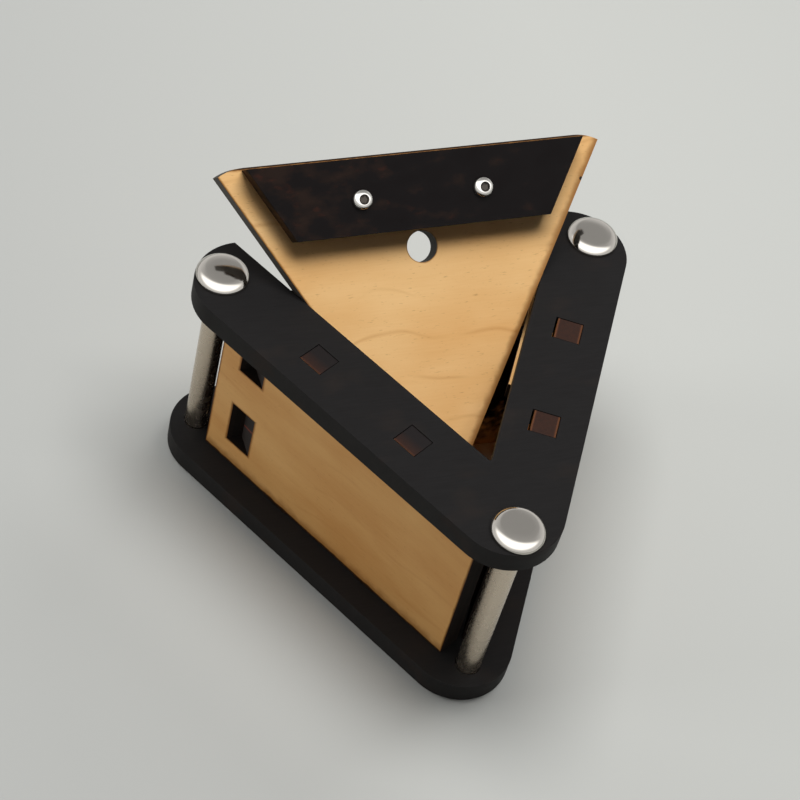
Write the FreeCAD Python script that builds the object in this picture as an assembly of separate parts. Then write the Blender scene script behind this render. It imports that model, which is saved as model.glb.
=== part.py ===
# A three-cornered plywood trick box, in millimetres.
# Three steel posts stand on the corners of an equal-sided triangle and hold two plates apart. The upper plate is a V
# of two arms, and a triangular lid slides on ledges under them. Here the lid is pulled out and leans in the opening.
# The origin is the middle of the post triangle, on the underside of the base. +Z is up, and the lid slides out at +Y.
import FreeCAD, Part
import math
import os

Vector = FreeCAD.Vector

# Plan of the posts and plates
post_spacing = 100.0
plate_margin = 10.4
plate_corner_radius = 13.95
arm_inner_inset = 10.2
arm_vertex_radius = 0.6

# Sheet thicknesses and heights
plate_thickness = 6.2
wall_thickness = 6.5
lid_thickness = 5.0
runner_thickness = 5.0
wall_height = 51.85
rear_wall_drop = 1.0
cross_wall_drop = 2.35

# Side walls
wall_end_gap = 6.8
tab_length = 6.75
tab_spacing = 31.75
tab_short = 0.1
slot_play = 0.15

# Rear wall, centred on the line between the rear posts
rear_wall_end_gap = 7.0
rear_tab_spacing = 44.0

# Cross wall, whose end tabs pass through windows in the side walls
channel_width = 10.25
cross_foot_spacing = 30.0
cross_tab_low = 8.4
cross_tab_height = 14.2
cross_tab_gap = 13.95
cross_tab_recess = 0.2
cross_notch_play = 0.15

# Runners under the arms, the ledges that the closed lid slides on
runner_width = 7.4
runner_front = 47.0
runner_rear_gap = 0.2
lid_groove_play = 0.2

# Posts, their heads and the screws that hold them
barrel_radius = 3.15
barrel_seat_depth = 2.0
barrel_fit = 0.08
head_radius = 6.75
head_rim = 0.7
head_crown_radius = 4.3
head_shoulder = 2.5
head_height = 3.0
thread_radius = 2.0
thread_depth = 12.0
base_screw_length = 10.0
base_screw_head_radius = 4.0
base_screw_recess = 0.3
base_screw_socket = 2.5
screw_fit = 0.05
curve_steps = 3

# Lid
lid_side_inset = 3.75
lid_tip_radius = 2.0
lid_hole_radius = 4.0
lid_hole_gap = 0.55
bar_thickness = 5.0
bar_width = 18.86
bar_rear_inset = 0.58
bar_end_inset = 9.65
lid_screw_spacing = 32.0
lid_screw_setback = 8.67
lid_screw_radius = 1.5
lid_screw_length = 8.0
lid_screw_head_radius = 2.75
lid_screw_head_height = 1.65
lid_screw_socket = 2.0
lid_screw_socket_depth = 1.0

# Lock pin in the lid
pin_radius = 2.0
pin_head_radius = 3.0
pin_head_height = 0.8
pin_travel = 3.0
pin_fit = 0.08
pin_pocket_play = 0.1
pin_hole_play = 0.3
pin_hole_spare_depth = 1.0

# How the lid leans in the opening: on the cross wall's front edge, between the top edges of the arms
lid_tilt = 41.66
lid_turn = 0.8
lid_arm_clearance = 0.04
lid_seat_clearance = 0.03

# Heights worked out from the sizes above
floor_z = plate_thickness
arm_under_z = plate_thickness + wall_height
top_z = arm_under_z + plate_thickness
runner_top_z = arm_under_z - lid_groove_play - lid_thickness
rear_wall_top = runner_top_z - rear_wall_drop
cross_wall_top = runner_top_z - cross_wall_drop

# Lines worked out from the sizes above
rear_y = post_spacing * math.tan(math.radians(30)) / 2
front_y = -2 * rear_y
half_wall = wall_thickness / 2
outline_rear_y = rear_y + plate_margin
cross_wall_y = rear_y - channel_width - wall_thickness
bar_rear_y = outline_rear_y - bar_rear_inset
bar_front_y = bar_rear_y - bar_width
lid_hole_y = bar_front_y - lid_hole_gap - lid_hole_radius
lid_screw_places = [Vector(way * lid_screw_spacing / 2, bar_front_y + lid_screw_setback, 0) for way in (-1, 1)]
pin_place = Vector(0, rear_y, 0)

# How far each arm's slots are open on the inner side of the tabs. The right wall stands against the outer side.
TOP_SLOT_INNER_PLAY = {"left": slot_play, "right": 0.55}

POSTS = {
    "left_post": Vector(-post_spacing / 2, rear_y, 0),
    "right_post": Vector(post_spacing / 2, rear_y, 0),
    "front_post": Vector(0, front_y, 0),
}


def prism(points, z, height):
    """A straight-sided solid on a flat outline of (x, y) points."""
    corners = [Vector(x, y, z) for x, y in points]
    face = Part.Face(Part.makePolygon(corners + corners[:1]))
    return face.extrude(Vector(0, 0, height))


def block(low, high):
    """A box between two opposite corners."""
    size = high - low
    return Part.makeBox(size.x, size.y, size.z, low)


def rod(radius, low, high, at=Vector(0, 0, 0)):
    """An upright cylinder between two heights."""
    return Part.makeCylinder(radius, high - low, Vector(at.x, at.y, low))


def half_width(y, inset):
    """Half the width at y of the post triangle, with its two slanted sides moved in by inset."""
    return (y - front_y) * math.tan(math.radians(30)) - inset / math.cos(math.radians(30))


def tip_y(inset):
    """Where the two slanted sides meet once they are moved in by inset."""
    return front_y + inset / math.sin(math.radians(30))


def inset_triangle(inset, rear, z, height):
    """A solid between the two slanted sides, moved in by inset, from their tip to a line at y = rear."""
    x = half_width(rear, inset)
    return prism([(0, tip_y(inset)), (x, rear), (-x, rear)], z, height)


def rounded_triangle(z, height):
    """The outline that both plates and the lid's rear corners share: three sides and three rounded corners."""
    x = half_width(outline_rear_y, -plate_margin)
    solid = inset_triangle(-plate_margin, outline_rear_y, z, height)
    corners = [(0, tip_y(-plate_margin)), (x, outline_rear_y), (-x, outline_rear_y)]
    return round_upright_edges(solid, plate_corner_radius, corners)


def round_upright_edges(solid, radius, places):
    """Round the upright edges that stand at the given (x, y) places."""
    chosen = []
    for edge in solid.Edges:
        middle = edge.CenterOfMass
        upright = abs(edge.tangentAt(edge.FirstParameter).z) > 0.9
        near = any(math.hypot(middle.x - x, middle.y - y) < 0.01 for x, y in places)
        if upright and near:
            chosen.append(edge)
    return solid.makeFillet(radius, chosen)


def on_side(solid, side):
    """Carry a solid drawn along +X, with its outer face at -Y, to the left or right side of the triangle.

    x = 0 becomes the rear post, and x grows towards the front post.
    """
    left = solid.copy()
    left.rotate(Vector(0, 0, 0), Vector(0, 0, 1), -60)
    left.translate(POSTS["left_post"])
    if side == "left":
        return left
    return left.mirror(Vector(0, 0, 0), Vector(1, 0, 0))


def board(length_from, length_to, top, tabs):
    """A wall board drawn along +X, from the floor up to top, centred on y = 0, with tabs of its own sheet.

    Each tab is (middle, "up" or "down"), and fills its slot in the plate but for tab_short.
    """
    solid = block(Vector(length_from, -half_wall, floor_z), Vector(length_to, half_wall, top))
    for middle, way in tabs:
        if way == "up":
            low = top
            high = top + plate_thickness - tab_short
        else:
            low = tab_short
            high = floor_z
        solid = solid.fuse(
            block(
                Vector(middle - tab_length / 2, -half_wall, low),
                Vector(middle + tab_length / 2, half_wall, high),
            )
        )
    return solid.removeSplitter()


def slot(middle, z, inner_play=slot_play):
    """The cutter for the slot that takes one tab, drawn the same way as the board."""
    return block(
        Vector(middle - tab_length / 2 - slot_play, -half_wall - slot_play, z - 1),
        Vector(middle + tab_length / 2 + slot_play, half_wall + inner_play, z + plate_thickness + 1),
    )


def pair(spacing):
    """Two places, spacing apart, about zero."""
    return (-spacing / 2, spacing / 2)


side_tab_middles = [post_spacing / 2 + offset for offset in pair(tab_spacing)]


def stepped_curve(start, bend, end):
    """The arc through three points as a few short straight lines, which turn into cones when they are revolved."""
    return Part.makePolygon(Part.Arc(start, bend, end).discretize(curve_steps + 1)).Edges


def hex_socket(across_flats, z, depth):
    """The cutter for a hexagon socket that opens upwards at z + depth."""
    corner = across_flats / math.sqrt(3)
    turns = [math.radians(60 * step) for step in range(6)]
    return prism([(corner * math.cos(a), corner * math.sin(a)) for a in turns], z, depth)


def make_base_plate():
    """The floor of the box, with slots for the walls' tabs and a stepped hole at each post."""
    plate = rounded_triangle(0, plate_thickness)
    for side in ("left", "right"):
        for middle in side_tab_middles:
            plate = plate.cut(on_side(slot(middle, 0), side))
    for spacing, y in ((rear_tab_spacing, rear_y), (cross_foot_spacing, cross_wall_y)):
        for middle in pair(spacing):
            plate = plate.cut(slot(middle, 0).translated(Vector(0, y, 0)))
    for post in POSTS.values():
        seat_z = floor_z - barrel_seat_depth
        hole = rod(thread_radius + screw_fit, -1, floor_z, post)
        seat = rod(barrel_radius + barrel_fit, seat_z, floor_z + 1, post)
        wide = base_screw_head_radius + screw_fit
        depth = wide - thread_radius - screw_fit
        sink = Part.makeCone(wide, thread_radius + screw_fit, depth, Vector(post.x, post.y, base_screw_recess))
        mouth = rod(wide, -1, base_screw_recess, post)
        plate = plate.cut(hole.fuse([seat, sink, mouth]))
    return plate


def make_top_plate():
    """The V of two arms: the same outline as the base, open from its inner vertex to the rear."""
    plate = rounded_triangle(arm_under_z, plate_thickness)
    mouth_y = outline_rear_y + plate_margin
    opening = inset_triangle(arm_inner_inset, mouth_y, arm_under_z - 1, plate_thickness + 2)
    opening = round_upright_edges(opening, arm_vertex_radius, [(0, tip_y(arm_inner_inset))])
    plate = plate.cut(opening)
    for side in ("left", "right"):
        for middle in side_tab_middles:
            plate = plate.cut(on_side(slot(middle, arm_under_z, TOP_SLOT_INNER_PLAY[side]), side))
    for post in POSTS.values():
        plate = plate.cut(rod(barrel_radius + barrel_fit, arm_under_z - 1, top_z + 1, post))
    return plate


def cross_tab_heights():
    """The low and high edge of each end tab, the upper one ending at the board's top edge."""
    first = floor_z + cross_tab_low
    second = first + cross_tab_height + cross_tab_gap
    return [(first, first + cross_tab_height), (second, cross_wall_top)]


def make_side_wall(side):
    """A side wall with two tabs up, two tabs down and the windows for the cross wall's end tabs."""
    tabs = [(middle, way) for middle in side_tab_middles for way in ("up", "down")]
    wall = on_side(board(wall_end_gap, post_spacing - wall_end_gap, arm_under_z, tabs), side)
    for low, high in cross_tab_heights():
        window = block(
            Vector(-post_spacing, cross_wall_y - half_wall - slot_play, low - slot_play),
            Vector(post_spacing, cross_wall_y + half_wall + slot_play, high + slot_play),
        )
        wall = wall.cut(window)
    return wall


def make_runner(side):
    """The strip that the closed lid slides on, flat against the side wall and let into the cross wall."""
    inner = half_wall + runner_width
    rear_face_y = rear_y - half_wall - runner_rear_gap
    rear = (rear_y + inner * math.sin(math.radians(30)) - rear_face_y) / math.cos(math.radians(30))
    strip = block(
        Vector(rear, half_wall, runner_top_z - runner_thickness),
        Vector(runner_front, inner, runner_top_z),
    )
    return on_side(strip, side)


def make_rear_wall():
    """The low wall between the rear posts, with a blind hole in its top edge for the lock pin."""
    reach = post_spacing / 2 - rear_wall_end_gap
    wall = board(-reach, reach, rear_wall_top, [(middle, "down") for middle in pair(rear_tab_spacing)])
    wall.translate(Vector(0, rear_y, 0))
    bottom = rear_wall_top + rear_wall_drop - pin_travel - pin_hole_spare_depth
    return wall.cut(rod(pin_radius + pin_hole_play, bottom, rear_wall_top + 1, pin_place))


def make_cross_wall():
    """The partition. Its end tabs pass through the side walls, and its top corners are notched for the runners."""
    front_face_y = cross_wall_y - half_wall
    rear_face_y = cross_wall_y + half_wall
    shoulder = half_width(front_face_y, half_wall)
    wall = board(-shoulder, shoulder, cross_wall_top, [(middle, "down") for middle in pair(cross_foot_spacing)])
    tab_end = half_width(front_face_y, -half_wall) - cross_tab_recess
    for low, high in cross_tab_heights():
        wall = wall.fuse(block(Vector(-tab_end, -half_wall, low), Vector(tab_end, half_wall, high)))
    wall = wall.removeSplitter()
    notch_inner = half_width(front_face_y, half_wall + runner_width) - cross_notch_play
    notch_outer = half_width(rear_face_y, half_wall) + cross_notch_play
    notch_z = runner_top_z - runner_thickness
    for way in (-1, 1):
        ends = sorted((way * notch_inner, way * notch_outer))
        low = Vector(ends[0], -half_wall - 1, notch_z)
        high = Vector(ends[1], half_wall + 1, cross_wall_top + 1)
        wall = wall.cut(block(low, high))
    return wall.translated(Vector(0, cross_wall_y, 0))


def make_post(at):
    """A barrel nut: a plain barrel, threaded from below, under a domed head with a thin rim and a flatter crown."""
    seat_z = floor_z - barrel_seat_depth
    bend = Vector((head_radius + head_crown_radius) / 2 + 0.25, 0, top_z + (head_rim + head_shoulder) / 2 + 0.25)
    edge = [
        Vector(0, 0, seat_z),
        Vector(barrel_radius, 0, seat_z),
        Vector(barrel_radius, 0, top_z),
        Vector(head_radius, 0, top_z),
        Vector(head_radius, 0, top_z + head_rim),
    ]
    lines = [Part.makeLine(a, b) for a, b in zip(edge, edge[1:])]
    crown = Vector(head_crown_radius, 0, top_z + head_shoulder)
    peak = Vector(0, 0, top_z + head_height)
    rise = head_height - head_shoulder
    ball_radius = (head_crown_radius**2 + rise**2) / (2 * rise)
    half_turn = math.asin(head_crown_radius / ball_radius) / 2
    across = peak + Vector(ball_radius * math.sin(half_turn), 0, ball_radius * (math.cos(half_turn) - 1))
    shoulder = stepped_curve(edge[-1], bend, crown)
    wire = Part.Wire(lines + shoulder + stepped_curve(crown, across, peak) + [Part.makeLine(peak, edge[0])])
    post = Part.Face(wire).revolve(Vector(0, 0, 0), Vector(0, 0, 1), 360)
    bore = rod(thread_radius, seat_z - 1, seat_z + thread_depth)
    return post.cut(bore).translated(at)


def make_base_screws():
    """Three countersunk screws with hexagon sockets, sunk in the underside of the base, one into each post."""
    shank_radius = thread_radius - screw_fit
    wide = base_screw_head_radius
    cone_top = base_screw_recess + wide - shank_radius
    screw = Part.makeCone(wide, shank_radius, wide - shank_radius, Vector(0, 0, base_screw_recess))
    screw = screw.fuse(rod(shank_radius, cone_top, base_screw_recess + base_screw_length)).removeSplitter()
    screw = screw.cut(hex_socket(base_screw_socket, base_screw_recess, base_screw_socket / 2))
    return Part.makeCompound([screw.translated(post) for post in POSTS.values()])


def lid_place():
    """Where the middle of the lid's top face lies, worked out from the edges that the leaning lid rests on.

    The lid's top face meets the top of the arms on one line across the lid. There the lid is as wide as the gap
    between the arms, and its underside lies on the cross wall's front edge.
    """
    tilt = math.radians(lid_tilt)
    turn = math.radians(lid_turn)
    edge_y = cross_wall_y - half_wall
    shift = 2 * (arm_inner_inset - lid_side_inset + lid_arm_clearance)
    lean = (top_z - cross_wall_top) / math.tan(tilt) - (lid_thickness + lid_seat_clearance) / math.sin(tilt)
    line_y = edge_y - shift + lean
    tip = tip_y(lid_side_inset)
    reach = line_y - tip * math.cos(turn)
    right = reach * math.tan(math.radians(30) - turn)
    left = reach * math.tan(math.radians(30) + turn)
    x = (left - right) / 2 + tip * math.sin(turn)
    return Vector(x, line_y + shift - line_y * math.cos(tilt), top_z - line_y * math.sin(tilt))


def lean(solid):
    """Carry a solid drawn on the closed lid, whose top face is z = 0, to where the lid leans in the opening."""
    leaned = solid.copy()
    leaned.rotate(Vector(0, 0, 0), Vector(0, 0, 1), lid_turn)
    leaned.rotate(Vector(0, 0, 0), Vector(1, 0, 0), lid_tilt)
    return leaned.translated(lid_place())


def make_lid_board():
    """The triangular lid: sides inside the walls, rear edge and rear corners on the plates' outline."""
    outline = rounded_triangle(-lid_thickness, lid_thickness)
    inside = inset_triangle(lid_side_inset, outline_rear_y + 1, -lid_thickness - 1, lid_thickness + 2)
    lid = outline.common(inside)
    lid = round_upright_edges(lid, lid_tip_radius, [(0, tip_y(lid_side_inset))])
    below = -lid_thickness - 1
    lid = lid.cut(rod(lid_hole_radius, below, 1, Vector(0, lid_hole_y, 0)))
    lid = lid.cut(rod(pin_radius + pin_fit, below, 1, pin_place))
    screw_end = bar_thickness - lid_screw_length
    for place in lid_screw_places:
        lid = lid.cut(rod(lid_screw_radius + screw_fit, screw_end - screw_fit, 1, place))
    return lean(lid)


def make_lid_bar():
    """The grip bar, a slanted-ended strip that hides the lock pin's pocket."""
    wide = half_width(bar_rear_y, bar_end_inset)
    narrow = half_width(bar_front_y, bar_end_inset)
    outline = [(-narrow, bar_front_y), (narrow, bar_front_y), (wide, bar_rear_y), (-wide, bar_rear_y)]
    bar = prism(outline, 0, bar_thickness)
    pocket = pin_head_height + pin_travel + pin_pocket_play
    bar = bar.cut(rod(pin_head_radius + pin_fit, -1, pocket, pin_place))
    for place in lid_screw_places:
        bar = bar.cut(rod(lid_screw_radius + screw_fit, -1, bar_thickness + 1, place))
    return lean(bar)


def make_lid_screws():
    """Two button-head screws with hexagon sockets that clamp the bar to the lid."""
    rise = lid_screw_head_height
    flat = lid_screw_head_radius * 0.45
    bend = Vector(lid_screw_head_radius * 0.83, 0, rise * 0.72)
    edge = [Vector(0, 0, rise), Vector(0, 0, -lid_screw_length), Vector(lid_screw_radius, 0, -lid_screw_length)]
    edge += [Vector(lid_screw_radius, 0, 0), Vector(lid_screw_head_radius, 0, 0)]
    lines = [Part.makeLine(a, b) for a, b in zip(edge, edge[1:])]
    top = Vector(flat, 0, rise)
    wire = Part.Wire(lines + stepped_curve(edge[-1], bend, top) + [Part.makeLine(top, edge[0])])
    screw = Part.Face(wire).revolve(Vector(0, 0, 0), Vector(0, 0, 1), 360)
    screw = screw.cut(hex_socket(lid_screw_socket, rise - lid_screw_socket_depth, lid_screw_socket_depth + 1))
    on_bar = Vector(0, 0, bar_thickness)
    return Part.makeCompound([lean(screw.translated(place + on_bar)) for place in lid_screw_places])


def make_lock_pin():
    """The headed pin, its head on the lid's face inside the bar's pocket, its end standing out below the lid."""
    shank = rod(pin_radius, -lid_thickness - pin_travel, 0)
    head = rod(pin_head_radius, 0, pin_head_height)
    pin = shank.fuse(head).removeSplitter()
    return lean(pin.translated(pin_place))


def main():
    """Build every piece and write one file for each."""
    pieces = {
        "base_plate": make_base_plate(),
        "top_plate": make_top_plate(),
        "left_wall": make_side_wall("left"),
        "right_wall": make_side_wall("right"),
        "rear_wall": make_rear_wall(),
        "cross_wall": make_cross_wall(),
        "left_runner": make_runner("left"),
        "right_runner": make_runner("right"),
        "base_screws": make_base_screws(),
        "lid_board": make_lid_board(),
        "lid_bar": make_lid_bar(),
        "lid_screws": make_lid_screws(),
        "lock_pin": make_lock_pin(),
    }
    for name, at in POSTS.items():
        pieces[name] = make_post(at)
    os.makedirs("parts", exist_ok=True)
    for name, shape in pieces.items():
        assert shape.isValid(), name
        shape.exportStep(f"parts/{name}.step")
        print(name, len(shape.Solids), "solid(s)", round(shape.Volume, 1), "mm3")


main()
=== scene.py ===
"""Looks of a three-cornered plywood trick box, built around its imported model.

Two black-stained plates stand on steel posts, with bare plywood walls between them. A loose birch lid with a dark grip
bar has been pulled out and leans in the opening. Sizes are in millimetres here and in metres in the meshes.
"""

import logging
import math
from abc import ABC, abstractmethod
from collections.abc import Iterable, Sequence
from dataclasses import dataclass, field
from enum import Enum
from typing import Any

import bmesh
import bpy
from bpy.types import Material, Mesh, MeshPolygon, Node, NodeSocket, NodeTree, Object
from mathutils import Matrix, Vector

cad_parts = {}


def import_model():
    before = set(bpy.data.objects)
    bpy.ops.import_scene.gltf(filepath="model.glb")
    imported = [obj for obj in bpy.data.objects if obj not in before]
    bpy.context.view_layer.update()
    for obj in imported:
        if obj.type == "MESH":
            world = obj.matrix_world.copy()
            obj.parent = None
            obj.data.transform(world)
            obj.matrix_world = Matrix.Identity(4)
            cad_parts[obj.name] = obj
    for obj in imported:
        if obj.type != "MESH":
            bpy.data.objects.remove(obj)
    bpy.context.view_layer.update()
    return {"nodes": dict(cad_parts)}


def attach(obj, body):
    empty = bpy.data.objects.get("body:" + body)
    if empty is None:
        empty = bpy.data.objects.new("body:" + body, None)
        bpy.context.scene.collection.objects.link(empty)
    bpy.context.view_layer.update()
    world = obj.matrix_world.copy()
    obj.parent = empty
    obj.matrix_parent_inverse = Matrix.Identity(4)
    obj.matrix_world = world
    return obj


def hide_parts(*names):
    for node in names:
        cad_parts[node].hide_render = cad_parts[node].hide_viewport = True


LOG = logging.getLogger("trick_box")

MM = 0.001

# The plan that the boards share: three posts on an equal-sided triangle, in millimetres
POST_SPACING = 100.0
REAR_Y = POST_SPACING * math.tan(math.radians(30)) / 2
FRONT_Y = -2 * REAR_Y
FLOOR_Z = 6.2
ARM_UNDER_Z = 58.05
TOP_Z = 64.25
WALL_THICKNESS = 6.5
# The two leaning sides of the triangle: how much of a step square to one of them goes across, and how much back
ACROSS, BACK = math.cos(math.radians(30)), math.sin(math.radians(30))

# The cuts of the boards inside the box: laser soot, painted on to near black as painted shade, where a lit cut of the
# same wood is mid-brown
SHADED_SOOTY_CUT = {"long_grain": "#1D1510", "end_grain": "#15100C", "glue": "#0B0807", "specular": 0.1}

Pair = tuple[float, float]
Triple = tuple[float, float, float]
# What may go into a node's socket: a node, which stands for the first of its outputs in use, one output of a node,
# "#RRGGBB" or a plain value
Source = Node | NodeSocket | str | float | Sequence[float]


class Body(Enum):
    """The moving groups that pieces ride on."""

    BOX = "box"
    LID = "lid"
    PIN = "pin"


class Slot(Enum):
    """The record's material slots."""

    BLACK = "black_plywood"
    TAN = "tan_plywood"
    BIRCH = "birch_plywood"
    DARK = "dark_plywood"
    SATIN = "satin_steel"
    BRIGHT = "bright_steel"


class Surface(Enum):
    """The kinds of surface on a plywood piece, as material slots of its mesh."""

    FACE = 0
    CUT = 1
    END = 2
    BACK = 3


def linear(colour: str) -> tuple[float, float, float, float]:
    """Turn an sRGB colour into the linear one that a shader takes.

    Args:
        colour: "#RRGGBB".

    Returns:
        Linear red, green, blue and an alpha of 1.
    """
    shares = [int(colour[at : at + 2], 16) / 255 for at in (1, 3, 5)]
    values = [s / 12.92 if s <= 0.04045 else ((s + 0.055) / 1.055) ** 2.4 for s in shares]
    return (*values, 1.0)


def new_object(name: str, mesh: Mesh) -> Object:
    """Put a mesh in the scene as an object of that name."""
    made = bpy.data.objects.new(name, mesh)
    bpy.context.scene.collection.objects.link(made)
    return made


def plain_mesh(piece: Object) -> None:
    """Give a piece the mesh that its modifiers make, and take the modifiers off.

    Args:
        piece: The piece.
    """
    graph = bpy.context.evaluated_depsgraph_get()
    made = bpy.data.meshes.new_from_object(piece.evaluated_get(graph), preserve_all_data_layers=True, depsgraph=graph)
    made.name = piece.name
    piece.modifiers.clear()
    piece.data = made


# Where a sheet lies, and what is drawn on it


@dataclass(frozen=True)
class Sheet:
    """Where a plywood sheet lies: x runs with its face grain, y across the grain, z out of its face.

    The origin is in millimetres, and the columns of turn are the three directions.
    """

    origin: Vector
    turn: Matrix

    @classmethod
    def from_axes(cls, origin: Sequence[float], along: Sequence[float], out: Sequence[float]) -> "Sheet":
        """Lay a sheet by its grain and its outer face.

        Args:
            origin: Its origin, in millimetres.
            along: The direction of its face grain.
            out: The direction that its outer face looks in.

        Returns:
            The sheet.
        """
        x = Vector(along).normalized()
        z = Vector(out).normalized()
        return cls(Vector(origin), Matrix((x, z.cross(x), z)).transposed())

    @property
    def out(self) -> Vector:
        """The direction that the outer face looks in."""
        return self.turn.col[2]

    def place(self, x: float, y: float, z: float) -> Vector:
        """A point on the sheet, given in its own millimetres, in metres in the frame."""
        return (self.origin + self.turn @ Vector((x, y, z))) * MM


LEVEL = Sheet.from_axes((0, 0, 0), (1, 0, 0), (0, 0, 1))


class Graph:
    """A node tree in the making."""

    def __init__(self, tree: NodeTree) -> None:
        """Start with an empty tree."""
        self.tree = tree
        tree.nodes.clear()

    def add(self, kind: str, *inputs: Source | dict[str | int, Source], **settings: Any) -> Node:
        """Add a node with its settings and links.

        Args:
            kind: Blender's name for the kind of node, where a shader node's goes without its "ShaderNode".
            inputs: What goes into the sockets, in their order, or else one dict with the sockets' names or numbers. In
                their order, MapRange takes the value, the two ends of the range that it comes from, and the two ends
                of the range that it goes to.
            settings: The node's own properties.

        Returns:
            The new node.
        """
        made = self.tree.nodes.new(kind if "Node" in kind else f"ShaderNode{kind}")
        for name, value in settings.items():
            setattr(made, name, value)
        named = inputs and isinstance(inputs[0], dict)
        for name, value in inputs[0].items() if named else enumerate(inputs):
            if isinstance(value, Node):
                value = next(output for output in value.outputs if output.enabled)
            if isinstance(value, NodeSocket):
                self.tree.links.new(value, made.inputs[name])
            elif isinstance(value, str) and value.startswith("#"):
                made.inputs[name].default_value = linear(value)
            else:
                made.inputs[name].default_value = value
        return made


class Paint(Graph):
    """A material in the making. spot is the socket that says where on the sheet each spot is, in millimetres."""

    def __init__(self, name: str, sheet: Sheet) -> None:
        """Start a material for a surface.

        Args:
            name: The finish's name.
            sheet: The sheet that the surface is on.
        """
        self.material = bpy.data.materials.new(name)
        self.material.use_nodes = True
        super().__init__(self.material.node_tree)
        lie = {"Location": sheet.origin * MM, "Rotation": sheet.turn.to_euler(), "Scale": (MM, MM, MM)}
        source = self.add("TexCoord").outputs["Object"]
        self.spot = self.add("Mapping", {"Vector": source, **lie}, vector_type="TEXTURE").outputs[0]

    def noise(self, size: Triple, shift: float, detail: float = 2.0) -> Node:
        """Noise whose cells have a size in millimetres.

        Args:
            size: A cell's length, width and depth.
            shift: Where in the noise it starts, so that no two patterns are alike.
            detail: How many finer layers it has.

        Returns:
            The texture, which gives a value from 0 to 1, mostly near 0.5.
        """
        start = (shift, shift * 0.7, shift * 1.3)
        cells = self.add("Mapping", {"Vector": self.spot, "Location": start, "Scale": tuple(1 / s for s in size)})
        return self.add("TexNoise", {"Vector": cells, "Scale": 1.0, "Detail": detail})

    def layered(self, colour: Source, *layers: tuple[Source, Source]) -> Source:
        """Lay colours over one another.

        Args:
            colour: The lowest one.
            layers: How strongly each colour over it covers what is below, and that colour.

        Returns:
            The colour that shows.
        """
        for share, over in layers:
            colour = self.add("Mix", {0: share, 6: colour, 7: over}, data_type="RGBA")
        return colour

    def finish(
        self,
        colour: Source,
        roughness: Source,
        specular: float = 0.5,
        relief: tuple[Source, float, float] | None = None,
        metallic: float = 0.0,
    ) -> None:
        """Connect the surface shader.

        Args:
            colour: Its base colour.
            roughness: Its roughness.
            specular: Its specular level.
            relief: Where it stands proud, how strongly that shows, and by how many millimetres.
            metallic: 1 for a metal, 0 for anything else.
        """
        looks = {"Base Color": colour, "Roughness": roughness, "Specular IOR Level": specular, "Metallic": metallic}
        if relief:
            height, strength, depth = relief
            looks["Normal"] = self.add("Bump", {"Strength": strength, "Distance": depth * MM, "Height": height})
        self.add("OutputMaterial", {"Surface": self.add("BsdfPrincipled", looks)})


class Finish(ABC):
    """How one surface looks."""

    name: str

    def build(self, sheet: Sheet) -> Material:
        """Make the material for a surface on a sheet.

        Args:
            sheet: The sheet.

        Returns:
            The material.
        """
        paint = Paint(self.name, sheet)
        self.draw(paint)
        return paint.material

    @abstractmethod
    def draw(self, paint: Paint) -> None:
        """Draw the surface in its material."""


# Scorch marks that a laser leaves round its cuts


class Burn(ABC):
    """A scorched border. reach is how far it goes into the wood, in millimetres, and depth how dark it is."""

    reach: float
    depth: float

    @abstractmethod
    def distance(self, paint: Paint) -> Node:
        """How far a spot on the sheet is from the cut, in millimetres."""

    def strength(self, paint: Paint, wobble: Node) -> Node:
        """How scorched a spot is.

        Args:
            paint: The material.
            wobble: Noise that makes the border uneven.

        Returns:
            depth at the cut, down to 0 at reach.
        """
        uneven = paint.add("Math", wobble, 1.1, 0.45, operation="MULTIPLY_ADD")
        away = paint.add("Math", self.distance(paint), uneven, operation="DIVIDE")
        return paint.add("MapRange", away, 0.0, self.reach, self.depth, 0.0, interpolation_type="SMOOTHERSTEP")


@dataclass(frozen=True)
class EdgeBurn(Burn):
    """Scorch along a straight edge. inward is the direction from the edge into the wood, start the edge's own place."""

    inward: Pair
    start: float
    reach: float
    depth: float = 1.0

    def distance(self, paint: Paint) -> Node:
        """How far a spot is from the edge."""
        along = paint.add("VectorMath", paint.spot, (*self.inward, 0.0), operation="DOT_PRODUCT")
        return paint.add("Math", along, self.start, operation="SUBTRACT")


@dataclass(frozen=True)
class WindowBurn(Burn):
    """Scorch round a window. slant is how far it moves along x for each millimetre of depth."""

    middle: Pair
    half: Pair
    slant: float
    reach: float
    depth: float = 1.0

    def distance(self, paint: Paint) -> Node:
        """How far a spot is from the window.

        Args:
            paint: The material.

        Returns:
            The distance.
        """
        x, y, z = paint.add("SeparateXYZ", paint.spot).outputs
        upright = paint.add("Math", z, self.slant, x, operation="MULTIPLY_ADD")
        gaps = []
        for value, middle, half in zip((upright, y), self.middle, self.half):
            moved = paint.add("Math", value, middle, operation="SUBTRACT")
            size = paint.add("Math", moved, operation="ABSOLUTE")
            gaps.append(paint.add("Math", size, half, operation="SUBTRACT"))
        return paint.add("Math", *gaps, operation="MAXIMUM")


@dataclass(frozen=True)
class HoleBurn(Burn):
    """Scorch round a round hole."""

    middle: Pair
    radius: float
    reach: float
    depth: float = 1.0

    def distance(self, paint: Paint) -> Node:
        """How far a spot is from the hole's rim."""
        flat = paint.add("VectorMath", paint.spot, (1.0, 1.0, 0.0), operation="MULTIPLY")
        away = paint.add("VectorMath", flat, (*self.middle, 0.0), operation="DISTANCE")
        return paint.add("Math", away, self.radius, operation="SUBTRACT")


# Wood finishes


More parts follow.
